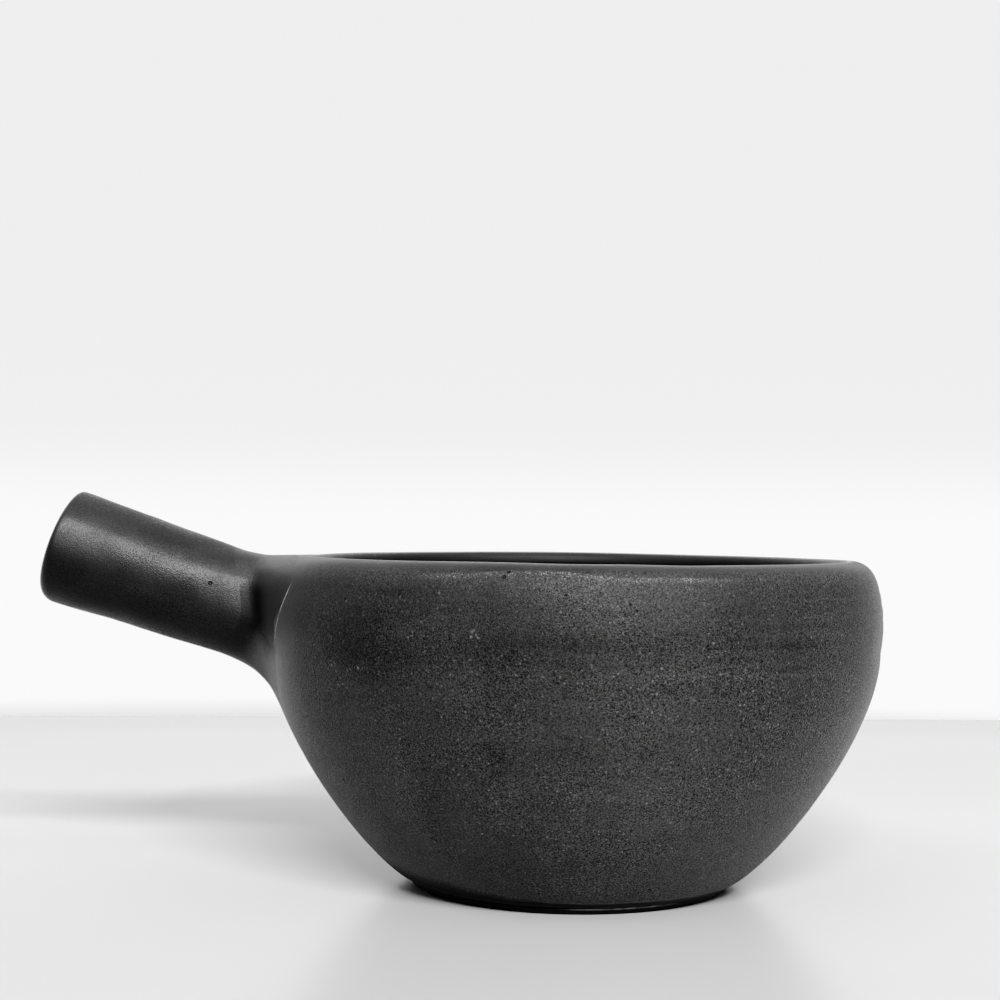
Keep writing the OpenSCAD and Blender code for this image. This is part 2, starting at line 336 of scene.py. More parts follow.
def meet(a):
    """Where each line along the handle meets the bowl's outside."""
    a = np.asarray(a, float)
    lo, hi = np.full(a.shape, 40.0), np.full(a.shape, 95.0)
    for _ in range(40):
        m = (lo + hi) / 2
        p = handle_point(m, a)
        th = np.arctan2(p[:, 1], -p[:, 0])
        near = bowl_point(U_OF_Z(np.minimum(p[:, 2], RIM_H - 0.05)), th)
        out = np.hypot(p[:, 0], p[:, 1]) > np.hypot(near[:, 0], near[:, 1])
        lo, hi = np.where(out, m, lo), np.where(out, hi, m)
    return (lo + hi) / 2


HT = 224
HA = np.linspace(0, 2 * np.pi, HT + 1)[:-1]
h_meet = meet(HA)
V = []
lip_wave = 1.0 + 0.5 * np.cos(HA) + 0.10 * np.cos(2 * HA + 0.7) + 0.06 * np.cos(3 * HA - 0.4)
bore_s = np.r_[BORE_DEPTH, np.linspace(BORE_DEPTH - 1.0, 4.5, 30), 3.6]
V.append(TIP + BORE_DEPTH * BACK + 5.0 * (np.cos(HA)[:, None] * UP + np.sin(HA)[:, None] * SIDE))
V.append(TIP + BORE_DEPTH * BACK + 11.0 * (np.cos(HA)[:, None] * UP + np.sin(HA)[:, None] * SIDE))
for s in bore_s:
    rb = BORE_R + 0.12 * np.sin(2 * np.pi * s / 6.1 + HA) * smooth(s, 2, 10) - 0.8 * smooth(s, BORE_DEPTH - 1.2, BORE_DEPTH)
    V.append(TIP + s * BACK + rb[:, None] * (np.cos(HA)[:, None] * UP + np.sin(HA)[:, None] * SIDE))
for t in np.linspace(15, 90, 5):
    c, sn = math.cos(math.radians(t)), math.sin(math.radians(t))
    V.append(TIP + (1.0 - sn + lip_wave)[:, None] * BACK + (BORE_R + 1.0 - c) * (np.cos(HA)[:, None] * UP + np.sin(HA)[:, None] * SIDE))
lip_r = 2.0 + 2.8 * (0.5 - 0.5 * np.cos(HA)) ** 2
for t in np.linspace(80, 0, 12):
    c, sn = math.cos(math.radians(t)), math.sin(math.radians(t))
    V.append(handle_point(lip_r * (1 - sn), HA, base=handle_r(LIP_ROUND) - lip_r * (1 - c)) + (lip_wave * (0.75 + 0.25 * sn))[:, None] * BACK)
n_along = 74
for i in range(1, n_along + 1):
    s = lip_r + (h_meet + 1.0 - lip_r) * i / n_along
    V.append(handle_point(s, HA) + (lip_wave * 0.75 * (1 - smooth(s, 0, 16)))[:, None] * BACK)
for k, rr in ((0.7, 0.75), (0.7, 0.35)):
    c = handle_point(h_meet + 1.6, HA).mean(0)
    ring = handle_point(h_meet + 1.6, HA)
    V.append(c + (ring - c) * rr)
n_rows = len(V)
verts = np.vstack(V + [[TIP + BORE_DEPTH * BACK], [V[-1].mean(0)]])
faces = grid_faces(n_rows, HT)
faces = [(b, a, d, c) for a, b, c, d in faces]
b0, b1 = n_rows * HT, n_rows * HT + 1
faces += [(b0, j, (j + 1) % HT) for j in range(HT)]
faces += [(b1, (n_rows - 1) * HT + (j + 1) % HT, (n_rows - 1) * HT + j) for j in range(HT)]
handle = make("handle_clay", verts, faces)

# collar: a smooth blend from the handle's surface on to the bowl's surface
CT = 288
CA = np.linspace(0, 2 * np.pi, CT + 1)[:-1]
c_meet = meet(CA)
c_reach = np.where(np.cos(CA) > 0, COLLAR_TOP, COLLAR_BELOW) * np.cos(CA) ** 2 + COLLAR_BESIDE * np.sin(CA) ** 2
u_mid = U_OF_Z(87.0)
end_u = u_mid + np.where(np.cos(CA) > 0, U_TOP + 0.4 - u_mid, COLLAR_DOWN) * np.cos(CA)
end_q = COLLAR_SIDE / BELLY_R * np.sin(CA) * (1 + COLLAR_FLARE * np.maximum(0, np.cos(CA)))
join = handle_point(c_meet, CA)
join_u, join_q = U_OF_Z(np.minimum(join[:, 2], RIM_H - 0.05)), np.arctan2(join[:, 1], -join[:, 0])
du, dq = end_u - join_u, end_q - join_q
span = np.hypot(du, dq * BELLY_R)
proud = 0.1 * bump(wrap(CA), 0.0, 0.55)
start = c_meet - c_reach
p0 = handle_point(start, CA, 0.02)
d0 = unit(handle_point(start + 0.5, CA, 0.02) - handle_point(start - 0.5, CA, 0.02))
e = bowl_point(end_u, end_q, 0.02 + proud)
d1 = unit(e - bowl_point(end_u - 0.06 * du, end_q - 0.06 * dq, 0.02 + proud))
p1 = p0 + d0 * ((COLLAR_P1 + COLLAR_P1_SIDE * np.sin(CA) ** 2) * c_reach)[:, None]
p2 = e - d1 * (COLLAR_P2 * np.linalg.norm(e - join, axis=1))[:, None]
C_LUMPS = waves(12, 14, 34, 5, 41)
V, along = [], []
crease_shade = np.zeros((0, CT))
V.append(handle_point(start - 3.2, CA, -0.5)); along.append(np.zeros(CT))
V.append(handle_point(start - 2.2, CA, -0.04)); along.append(np.zeros(CT))
steps = np.r_[np.linspace(0, 0.86, 30), np.linspace(0.88, 1.0, 9)]
for t in steps:
    p = cubic(p0, p1, p2, e, np.full(CT, t))
    V.append(p); along.append(np.full(CT, smooth(t, 0.15, 0.62)))
    crease_shade = np.vstack([crease_shade, bump(t, 0.30, 0.42) * np.abs(np.sin(CA)) ** 1.5 * smooth(np.cos(CA), -0.70, -0.20)])
for dist, lift in ((0.7, 0.012), (1.6, -0.015), (2.8, -0.06), (3.8, -0.5)):
    k = 1 + dist / span
    V.append(bowl_point(join_u + du * k, join_q + dq * k, lift + proud * (1 - smooth(dist, 0, 1.6)))); along.append(np.ones(CT))
for k in (0.8, 0.4):
    V.append(bowl_point(join_u + du * k, join_q + dq * k, -0.9)); along.append(np.zeros(CT))
V.append(handle_point(c_meet + 0.5, CA, -0.9)); along.append(np.zeros(CT))
V.append(handle_point(start + 0.5 * c_reach, CA, -0.9)); along.append(np.zeros(CT))
# gentle unevenness from the fingers that smoothed it
n_blend = len(steps)
grid = np.array(V)
nrm = np.cross(np.roll(grid[2:2 + n_blend], -1, 1) - np.roll(grid[2:2 + n_blend], 1, 1), np.gradient(grid[2:2 + n_blend], axis=0))
nrm = unit(nrm)
flip = np.sign((nrm * (grid[2:2 + n_blend] - np.array([-110.0, 0, 88.0]))).sum(-1).mean())
lump = 0.03 * field((steps * 40)[:, None], CA[None], C_LUMPS) * (smooth(steps, 0, 0.25) * (1 - smooth(steps, 0.7, 1.0)))[:, None]
grid[2:2 + n_blend] += nrm * flip * lump[..., None]
faces = grid_faces(len(grid), CT, close=True)
collar = make("handle_collar_clay", grid.reshape(-1, 3), faces)
set_attr(collar, "along", np.concatenate(along))
crease_shade = np.vstack([np.zeros((2, CT)), crease_shade, np.zeros((len(along) - 2 - n_blend, CT))])
set_attr(collar, "crease_shade", crease_shade.ravel())

for ob in (bowl, foot, handle, collar):
    me = ob.data
    me.calc_loop_triangles()
    co = np.empty(len(me.vertices) * 3); me.vertices.foreach_get("co", co); co = co.reshape(-1, 3)
    tri = np.empty(len(me.loop_triangles) * 3, int); me.loop_triangles.foreach_get("vertices", tri); tri = tri.reshape(-1, 3)
    vol = np.einsum("ij,ij->i", co[tri[:, 0]], np.cross(co[tri[:, 1]], co[tri[:, 2]])).sum() / 6
    print("volume cm3", ob.name, round(vol * 1e6, 2), "tris", len(tri))
    if vol < 0:
        me.flip_normals()


# ------------------------------------------------------------------ materials
def material(name):
    m = bpy.data.materials.new(name)
    m.use_nodes = True
    nt = m.node_tree
    nt.nodes.clear()
    out = nt.nodes.new("ShaderNodeOutputMaterial")
    bs = nt.nodes.new("ShaderNodeBsdfPrincipled")
    nt.links.new(bs.outputs[0], out.inputs[0])
    return m, nt, bs


class Nodes:
    """Short names for the nodes that the glaze is built from."""
    def __init__(self, nt):
        self.nt = nt
        self.pos = nt.nodes.new("ShaderNodeTexCoord").outputs["Object"]

    def put(self, node, key, value):
        if hasattr(value, "is_output") or isinstance(value, bpy.types.NodeSocket):
            self.nt.links.new(value, node.inputs[key])
        else:
            node.inputs[key].default_value = value

    def math(self, op, a, b=0.0, clamp=False):
        n = self.nt.nodes.new("ShaderNodeMath"); n.operation = op; n.use_clamp = clamp
        self.put(n, 0, a); self.put(n, 1, b)
        return n.outputs[0]

    def xyz(self):
        n = self.nt.nodes.new("ShaderNodeSeparateXYZ"); self.put(n, 0, self.pos)
        return n.outputs[0], n.outputs[1], n.outputs[2]

    def vec(self, op, a, b):
        n = self.nt.nodes.new("ShaderNodeVectorMath"); n.operation = op
        self.put(n, 0, a); self.put(n, 1, b)
        return n.outputs["Value"] if op in ("DISTANCE", "LENGTH", "DOT_PRODUCT") else n.outputs["Vector"]

    def scaled(self, vec, s):
        n = self.nt.nodes.new("ShaderNodeMapping"); n.vector_type = "POINT"
        self.put(n, "Vector", vec); n.inputs["Scale"].default_value = s
        return n.outputs[0]

    def noise(self, scale, detail=2.0, rough=0.5, vec=None, dist=0.0):
        n = self.nt.nodes.new("ShaderNodeTexNoise")
        self.put(n, "Vector", vec or self.pos); n.inputs["Scale"].default_value = scale
        n.inputs["Detail"].default_value = detail; n.inputs["Roughness"].default_value = rough
        n.inputs["Distortion"].default_value = dist
        return n.outputs[0]

    def voronoi(self, scale, feature="F1", rand=1.0, vec=None):
        n = self.nt.nodes.new("ShaderNodeTexVoronoi"); n.feature = feature
        self.put(n, "Vector", vec or self.pos); n.inputs["Scale"].default_value = scale
        n.inputs["Randomness"].default_value = rand
        return n

    def map(self, v, a, b, c=0.0, d=1.0, kind="SMOOTHSTEP"):
        n = self.nt.nodes.new("ShaderNodeMapRange"); n.interpolation_type = kind; n.clamp = True if kind == "LINEAR" else n.clamp
        self.put(n, 0, v)
        for k, x in zip((1, 2, 3, 4), (a, b, c, d)):
            n.inputs[k].default_value = x
        return n.outputs[0]

    def mix(self, f, a, b):
        n = self.nt.nodes.new("ShaderNodeMix"); n.data_type = "RGBA"
        self.put(n, 0, f)
        for k, x in ((6, a), (7, b)):
            self.put(n, k, x if not isinstance(x, float) else (x, x, x, 1.0))
        return n.outputs[2]

    def bump(self, height, dist, normal=None, strength=1.0):
        n = self.nt.nodes.new("ShaderNodeBump")
        n.inputs["Strength"].default_value = strength; n.inputs["Distance"].default_value = dist
        self.put(n, "Height", height)
        if normal is not None:
            self.put(n, "Normal", normal)
        return n.outputs[0]

    def attr(self, name):
        n = self.nt.nodes.new("ShaderNodeAttribute"); n.attribute_name = name
        return n.outputs["Fac"]


# small marks on the bowl (mm, and size): pinholes, pale grains, and darker patches (with half widths across and up, and
# strength)
PITS = [
    (-21.8, -94.8, 104.6, 1.0), (-23.2, -95.5, 103.2, 1.1), (51.6, -81.0, 105.7, 0.7), (-42.3, -63.6, 24.2, 1.2),
    (-43.6, -63.2, 24.5, 1.0), (-41.5, -60.3, 20.1, 0.9), (-43.1, -65.5, 26.9, 0.6), (-70.6, -50.4, 39.7, 1.0),
    (-48.4, -68.8, 35.3, 0.9), (56.2, -56.8, 29.0, 1.0), (-52.9, -85.1, 97.4, 0.8), (-69.3, -73.0, 95.3, 0.9),
    (13.5, -99.9, 94.4, 0.6), (-48.1, -76.8, 46.4, 0.7), (-18.0, -82.1, 35.3, 0.8), (-7.8, -82.4, 33.2, 0.7),
    (16.7, -61.2, 9.4, 0.7), (21.2, -60.2, 9.8, 0.8), (62.0, 70.0, 92.0, 1.0), (-40.0, 88.0, 84.0, 0.9),
    (10.0, 97.0, 66.0, 0.8), (84.0, 40.0, 58.0, 0.9), (-66.0, 58.0, 40.0, 1.0), (30.0, 72.0, 26.0, 0.9),
]
SPECKS = [
    (-31.9, -96.3, 87.9, 1.1), (-30.7, -96.7, 87.1, 0.8), (-32.1, -96.2, 86.5, 1.0), (-30.2, -96.9, 86.3, 0.9),
    (-31.3, -96.5, 88.4, 0.7), (-32.3, -95.7, 80.1, 0.8), (-65.0, -76.8, 75.9, 1.1), (-69.7, -71.6, 70.7, 0.7),
    (-41.3, -91.1, 98.4, 0.8), (-50.0, -88.2, 85.7, 0.7), (-71.3, -69.9, 70.3, 0.8), (29.6, -93.8, 103.0, 0.7),
    (51.9, -86.6, 79.8, 0.7), (-28.6, -73.8, 28.0, 0.8), (40.0, 90.0, 80.0, 0.9), (-20.0, 97.0, 72.0, 0.8),
]
DARK_PATCHES = [
    (-71.0, -72.0, 83.0, 16.0, 11.0, 0.34), (-60.0, -80.5, 79.0, 18.0, 12.0, 0.32), (-62.0, -79.5, 91.0, 15.0, 7.0, 0.28),
    (-30.0, -96.0, 80.5, 24.0, 8.0, 0.14), (-24.0, -90.0, 52.0, 6.0, 16.0, 0.24), (-42.0, -75.0, 39.0, 11.0, 18.0, 0.24),
    (-43.0, -68.0, 28.0, 10.0, 10.0, 0.26), (62.0, -80.0, 83.4, 16.0, 3.4, 0.28), (58.5, -82.0, 77.2, 15.0, 1.7, 0.28),
    (-58.0, -81.0, 97.6, 16.0, 2.6, 0.30), (2.0, -101.0, 85.5, 34.0, 5.0, 0.16), (80.0, -60.0, 97.8, 12.0, 1.3, 0.25),
    (-66.0, -70.0, 60.0, 60.0, 55.0, 0.14), (-10.0, -70.0, 12.0, 70.0, 16.0, 0.10),
    (60.0, 80.0, 80.0, 22.0, 9.0, 0.30), (-50.0, 86.0, 70.0, 16.0, 14.0, 0.30), (5.0, 96.0, 56.0, 9.0, 16.0, 0.30),
]


def glaze(name, kind, spec=0.25):
    """Charcoal glaze over a gritty clay; kind sets how much of the grit shows."""
    m, nt, bs = material(name)
    k = Nodes(nt)
    x, y, z = k.xyz()
    # the handle's glaze colour, a little uneven, is painted paler along its upper side and darker below: painted light
    # and shade
    over = k.math("ADD", k.math("MULTIPLY", k.math("ADD", x, 0.172), math.sin(math.radians(17.8))), k.math("MULTIPLY", k.math("ADD", z, -0.110), math.cos(math.radians(17.8))))
    handle_tone_lit_top = k.math("MULTIPLY", k.map(k.noise(40, 2.0), 0.35, 0.65, 0.0040, 0.0060), k.map(over, -0.008, 0.014, 0.75, 1.5))
    if kind == "bowl":
        calm, crest, near = k.attr("calm"), k.attr("crest"), k.attr("near")
        # painted light and shade: the wall's colour is lighter low down and darker up high; next to the collar it takes
        # the collar's colour, which is lighter low down too, and it is lighter in a band just under the rim
        base, low = 0.0186, 0.0084
        touch = k.math("MULTIPLY", near, near)
        tone = k.math("MULTIPLY", k.math("SUBTRACT", 1.0, touch), k.map(z, 0.035, 0.098, base, low))
        tone = k.math("ADD", tone, k.math("MULTIPLY", touch, k.map(z, 0.070, 0.088, 0.036, 0.0125)))
        tone = k.math("MULTIPLY", tone, k.map(z, 0.099, 0.105, 1.0, 1.22))
        # painted shade: darker next to the collar just under the rim
        tone = k.math("MULTIPLY", tone, k.math("SUBTRACT", 1.0, k.math("MULTIPLY", touch, k.map(z, 0.088, 0.100, 0.0, 0.35))))
        # painted light: the lower wall at the edge on the handle's side is painted up to 60 % lighter, a painted
        # reflection
        out = k.math("DIVIDE", x, k.math("SQRT", k.math("ADD", 0.0001, k.math("ADD", k.math("MULTIPLY", x, x), k.math("MULTIPLY", y, y)))))
        tone = k.math("MULTIPLY", tone, k.math("ADD", 1.0, k.math("MULTIPLY", k.map(out, -0.95, -0.70, 0.60, 0.0), k.math("MULTIPLY", k.math("SUBTRACT", 1.0, touch), k.map(z, 0.060, 0.078, 1.0, 0.0)))))
        # painted shade: the inside is painted darker, most just below the lip
        within = k.attr("inside")
        shade = k.math("SUBTRACT", 1.0, k.map(z, 0.086, 0.099, 0.75, 0.22))
        tone = k.math("MULTIPLY", tone, k.math("SUBTRACT", 1.0, k.math("MULTIPLY", within, shade)))
        rough = k.map(near, 0.0, 1.0, 0.58, 0.50, "LINEAR")
        grit = k.math("MULTIPLY", k.map(calm, 0.0, 1.0, 1.0, 0.22, "LINEAR"), k.map(z, 0.082, 0.102, 1.0, 0.85))
        grit = k.math("MULTIPLY", grit, k.map(k.noise(48, 3.0), 0.32, 0.68, 0.72, 1.18))
        grit = k.math("MULTIPLY", grit, k.map(x, -0.05, 0.07, 0.88, 1.25))
    elif kind == "collar":
        along = k.attr("along")
        on_wall = k.math("SUBTRACT", 1.0, along)
        tone = k.math("ADD", k.math("MULTIPLY", on_wall, handle_tone_lit_top), k.math("MULTIPLY", along, k.map(z, 0.070, 0.088, 0.036, 0.0125)))
        # painted shade: the collar is painted down to a tenth of its colour in the crease along its sides, where it
        # turns from the handle on to the wall; it is rougher there too
        crease_shade_mask = k.math("MULTIPLY", k.attr("crease_shade"), k.math("MULTIPLY", k.map(z, 0.076, 0.086, 0.0, 1.0), k.map(z, 0.0950, 0.0995, 1.0, 0.0)))
        tone = k.math("MULTIPLY", tone, k.map(crease_shade_mask, 0.0, 1.0, 1.0, 0.10, "LINEAR"))
        tone = k.math("MULTIPLY", tone, k.map(z, 0.097, 0.104, 1.0, 1.3))
        rough = k.math("ADD", k.math("MULTIPLY", on_wall, k.map(k.noise(60, 2.0), 0.35, 0.65, 0.40, 0.45)), k.math("MULTIPLY", along, 0.50))
        rough = k.math("ADD", rough, k.math("MULTIPLY", crease_shade_mask, 0.20))
        grit = k.math("ADD", k.math("MULTIPLY", on_wall, k.map(k.noise(25, 1.0), 0.35, 0.65, 0.45, 0.65)), k.math("MULTIPLY", along, 0.22))
    else:
        tone = handle_tone_lit_top
        rough = k.map(k.noise(60, 2.0), 0.35, 0.65, 0.40, 0.45)
        grit = k.map(k.noise(25, 1.0), 0.35, 0.65, 0.45, 0.65)

    # grit: two sizes of grain
    big, small = k.noise(1900, 1.0, 0.5), k.noise(3600, 0.0, 0.5)
    both = k.math("ADD", k.math("MULTIPLY", big, 0.62), k.math("MULTIPLY", small, 0.38))
    grain = k.math("MULTIPLY", k.math("SUBTRACT", both, 0.5), 4.2)

    # broad unevenness of the glaze, bands from the wheel and short vertical drifts
    mottle = k.noise(30, 4.0, 0.6)
    cloud = k.noise(12, 2.0, 0.5)
    bands = k.noise(26, 3.0, 0.6, k.scaled(k.pos, (0.35, 0.35, 6.0)))
    drift = k.noise(60, 2.0, 0.5, k.scaled(k.pos, (1.0, 1.0, 0.22)))
    broad = k.math("ADD", k.map(mottle, 0.3, 0.7, -0.11, 0.11), k.map(cloud, 0.35, 0.65, -0.11, 0.11))
    broad = k.math("ADD", broad, k.math("ADD", k.map(bands, 0.3, 0.7, -0.09, 0.09), k.map(drift, 0.3, 0.7, -0.06, 0.06)))
    if kind == "bowl":
        for sx, sy, sz, across, up, amount in DARK_PATCHES:
            off = k.vec("SUBTRACT", k.pos, (sx * 0.001, sy * 0.001, sz * 0.001))
            off = k.vec("MULTIPLY", off, (1000 / across, 1000 / across, 1000 / up))
            broad = k.math("SUBTRACT", broad, k.map(k.vec("LENGTH", off, (0, 0, 0)), 0.1, 1.0, amount, 0.0))
    level = k.math("ADD", 1.0, k.math("ADD", broad, k.math("MULTIPLY", k.math("MULTIPLY", grain, grit), 1.40)))
    level = k.math("MAXIMUM", level, 0.12)

    # pale grains that break through, pinholes that did not heal
    cells = k.voronoi(300)
    pick = nt.nodes.new("ShaderNodeSeparateColor"); nt.links.new(cells.outputs["Color"], pick.inputs[0])
    pale = k.math("MULTIPLY", k.map(cells.outputs["Distance"], 0.05, 0.16, 1.0, 0.0), k.map(pick.outputs[0], 0.86, 0.92))
    holes = k.voronoi(170)
    pick2 = nt.nodes.new("ShaderNodeSeparateColor"); nt.links.new(holes.outputs["Color"], pick2.inputs[0])
    pit = k.math("MULTIPLY", k.map(holes.outputs["Distance"], 0.03, 0.075, 1.0, 0.0), k.map(pick2.outputs[0], 0.90, 0.94))
    if kind == "bowl":
        flecks, pores = k.voronoi(820), k.voronoi(560)
        pick3 = nt.nodes.new("ShaderNodeSeparateColor"); nt.links.new(flecks.outputs["Color"], pick3.inputs[0])
        pick4 = nt.nodes.new("ShaderNodeSeparateColor"); nt.links.new(pores.outputs["Color"], pick4.inputs[0])
        fleck = k.math("MULTIPLY", k.map(flecks.outputs["Distance"], 0.12, 0.38, 1.0, 0.0), k.map(pick3.outputs[0], 0.70, 0.95, 0.0, 1.9))
        pore = k.math("MULTIPLY", k.map(pores.outputs["Distance"], 0.10, 0.30, 1.0, 0.0), k.map(pick4.outputs[0], 0.72, 0.90, 0.0, 0.74))
        level = k.math("ADD", level, k.math("MULTIPLY", fleck, grit))
        level = k.math("MULTIPLY", level, k.math("SUBTRACT", 1.0, k.math("MULTIPLY", pore, grit)))
        for px, py, pz, s in PITS:
            d = k.vec("DISTANCE", k.pos, (px * 0.001, py * 0.001, pz * 0.001))
            pit = k.math("MAXIMUM", pit, k.map(d, 0.00030 * s, 0.00078 * s, 1.0, 0.0))
        for px, py, pz, s in SPECKS:
            d = k.vec("DISTANCE", k.pos, (px * 0.001, py * 0.001, pz * 0.001))
            pale = k.math("MAXIMUM", pale, k.map(d, 0.00020 * s, 0.00062 * s, 1.6, 0.0))
    elif kind == "handle":
        d = k.vec("DISTANCE", k.pos, (-0.1182, -0.0164, 0.0977))
        pit = k.math("MAXIMUM", k.math("MULTIPLY", pit, 0.6), k.map(d, 0.0003, 0.0008, 1.0, 0.0))
        pale = k.math("MULTIPLY", pale, 0.25)
    else:
        pit, pale = k.math("MULTIPLY", pit, 0.3), k.math("MULTIPLY", pale, 0.3)
    if kind == "bowl":
        # painted highlight: a row of bright grains, a painted glint, where the wall turns over into the rim, on the
        # front only, with a few more below it
        sparks = k.voronoi(1750)
        pick5 = nt.nodes.new("ShaderNodeSeparateColor"); nt.links.new(sparks.outputs["Color"], pick5.inputs[0])
        glint = k.math("MULTIPLY", k.map(sparks.outputs["Distance"], 0.14, 0.48, 1.0, 0.0), k.map(pick5.outputs[0], 0.15, 0.90, 0.08, 1.0))
        line_z = k.math("ADD", z, k.math("ADD", k.map(x, -0.012, 0.012, 0.0, 0.0016), k.map(x, -0.045, -0.014, 0.0014, 0.0)))
        row = k.math("MULTIPLY", k.map(line_z, 0.1034, 0.1043, 0.0, 1.0), k.map(line_z, 0.1048, 0.1054, 1.0, 0.0))
        below = k.math("MULTIPLY", k.map(line_z, 0.0960, 0.1038, 0.0, 1.0), k.map(line_z, 0.1044, 0.1050, 1.0, 0.0))
        face = k.math("MULTIPLY", k.map(k.math("ABSOLUTE", k.math("SUBTRACT", x, -0.002)), 0.036, 0.050, 1.0, 0.0), k.map(y, -0.03, 0.03, 1.0, 0.0))
        front_glint_mask = k.math("MULTIPLY", face, k.map(k.noise(130, 2.0), 0.34, 0.60, 0.45, 1.0))
        few = k.math("MULTIPLY", glint, k.map(k.noise(420, 1.0), 0.48, 0.62, 0.0, 1.0))
        painted_glints = k.math("ADD", k.math("MULTIPLY", row, k.math("ADD", 0.50, k.math("MULTIPLY", glint, 7.0))), k.math("MULTIPLY", below, k.math("MULTIPLY", few, 3.0)))
        level = k.math("ADD", level, k.math("MULTIPLY", front_glint_mask, painted_glints))
    level = k.math("ADD", level, k.math("MULTIPLY", pale, 1.6))
    level = k.math("MULTIPLY", level, k.math("SUBTRACT", 1.0, k.math("MULTIPLY", pit, 0.92)))
    col = k.math("MULTIPLY", tone, level)

    # the pale line where the handle's clay was smoothed on to the wall
    line = None
    if kind != "handle":
        turn_deg = k.math("MULTIPLY", k.math("ARCTAN2", k.math("MULTIPLY", y, -1.0), k.math("MULTIPLY", x, -1.0)), -180 / math.pi)
        want = k.math("ADD", -20.5 + 0.402 * 80.2, k.math("MULTIPLY", z, -402.0))
        wander = k.math("MULTIPLY", k.math("SUBTRACT", k.noise(120, 2.0), 0.5), 0.7)
        off = k.math("ABSOLUTE", k.math("ADD", k.math("SUBTRACT", turn_deg, want), wander))
        line = k.math("MULTIPLY", k.map(off, 0.08, 0.30, 1.0, 0.0), k.math("MULTIPLY", k.map(z, 0.0745, 0.080, 0.0, 1.0), k.map(z, 0.0975, 0.1000, 1.0, 0.0)))
        line = k.math("MULTIPLY", line, k.map(k.noise(260, 1.0), 0.30, 0.60, 0.35, 1.0))
        flat = k.math("SQRT", k.math("ADD", k.math("MULTIPLY", x, x), k.math("MULTIPLY", y, y)))
        line = k.math("MULTIPLY", line, k.map(flat, 0.1030, 0.1045, 1.0, 0.0))
        if kind == "collar":
            line = k.math("MULTIPLY", line, k.map(along, 0.90, 0.99, 0.0, 1.0))
        else:
            line = k.math("MULTIPLY", line, k.math("SUBTRACT", 1.0, within))
        col = k.math("ADD", col, k.math("MULTIPLY", line, 0.075))
    if kind == "bowl":
        # Bare clay where the glaze stops short of the foot, painted near-black as painted shade under the wall's edge;
        # the line climbs and softens on the handle's side.
        side = k.map(x, -0.065, 0.005, 1.0, 0.0)
        edge = k.math("ADD", k.math("ADD", 0.0039, k.math("MULTIPLY", side, 0.0022)), k.math("MULTIPLY", k.math("SUBTRACT", k.noise(90, 3.0), 0.5), 0.0016))
        soft = k.math("ADD", 0.0006, k.math("MULTIPLY", side, 0.0045))
        bare_clay_and_shade = k.math("SUBTRACT", 1.0, k.math("DIVIDE", k.math("SUBTRACT", z, edge), soft, True), True)
        keep = k.math("SUBTRACT", 1.0, bare_clay_and_shade)
        col = k.math("ADD", k.math("MULTIPLY", col, keep), k.math("MULTIPLY", bare_clay_and_shade, 0.0025))
        crest_keep = k.math("SUBTRACT", 1.0, crest)
        rough = k.math("ADD", k.math("MULTIPLY", rough, crest_keep), k.math("MULTIPLY", crest, 0.20))
        rough = k.math("ADD", k.math("MULTIPLY", rough, keep), k.math("MULTIPLY", bare_clay_and_shade, 0.9))
    paint = nt.nodes.new("ShaderNodeCombineColor")
    for i, share in enumerate((1.0, 1.0, 0.995)):
        k.put(paint, i, k.math("MULTIPLY", col, share))
    nt.links.new(paint.outputs[0], bs.inputs["Base Color"])
    rough = k.math("SUBTRACT", rough, k.math("MULTIPLY", k.math("MULTIPLY", grain, grit), 0.16))
    rough = k.math("ADD", rough, k.map(mottle, 0.3, 0.7, -0.03, 0.03))
    nt.links.new(rough, bs.inputs["Roughness"])
    n = k.bump(k.noise(230, 2.0, 0.5), 0.00005)
    n = k.bump(k.math("MULTIPLY", both, grit), 0.00018, n)
    n = k.bump(pit, -0.00035, n)
    if line is not None:
        n = k.bump(line, 0.00012, n)
    nt.links.new(n, bs.inputs["Normal"])
    bs.inputs["Specular IOR Level"].default_value = spec
    bs.inputs["Sheen Weight"].default_value = {"bowl": 0.04, "collar": 0.006}.get(kind, 0.0)
    bs.inputs["Sheen Roughness"].default_value = 0.35
    return m


def clay(name, base=0.012):
    m, nt, bs = material(name)
    k = Nodes(nt)
    grain = k.noise(1200, 3.0, 0.6)
    patch = k.noise(60, 3.0, 0.5)
    col = k.mix(k.map(grain, 0.3, 0.7), base * 0.55, base * 1.5)
    col = k.mix(k.map(patch, 0.4, 0.7), col, base * 0.8)
    # painted highlight: a thin pale line on the front of the ring, a painted glint
    fx, fy, fz = k.xyz()
    ring_glint = k.math("MULTIPLY", k.map(k.math("ABSOLUTE", k.math("SUBTRACT", fz, 0.00155)), 0.00008, 0.00034, 1.0, 0.0), k.map(k.math("ABSOLUTE", k.math("SUBTRACT", fx, 0.0125)), 0.008, 0.022, 1.0, 0.0))
    ring_glint = k.math("MULTIPLY", k.math("MULTIPLY", ring_glint, k.map(fy, -0.02, 0.0, 1.0, 0.0)), k.map(k.noise(300, 2.0), 0.35, 0.60, 0.45, 1.0))
    col = k.mix(ring_glint, col, 0.20)
    nt.links.new(col, bs.inputs["Base Color"])
    nt.links.new(k.map(grain, 0.2, 0.8, 0.55, 0.8), bs.inputs["Roughness"])
    nt.links.new(k.bump(grain, 0.00008), bs.inputs["Normal"])
    bs.inputs["Specular IOR Level"].default_value = 0.3
    return m


body_mat = glaze("dark_glaze", "bowl", spec=0.16)
handle_mat = glaze("handle_glaze", "handle", spec=0.175)
collar_mat = glaze("collar_glaze", "collar", spec=0.165)
foot_mat = clay("bare_clay")
bowl.data.materials.append(body_mat)
handle.data.materials.append(handle_mat)
collar.data.materials.append(collar_mat)
foot.data.materials.append(foot_mat)

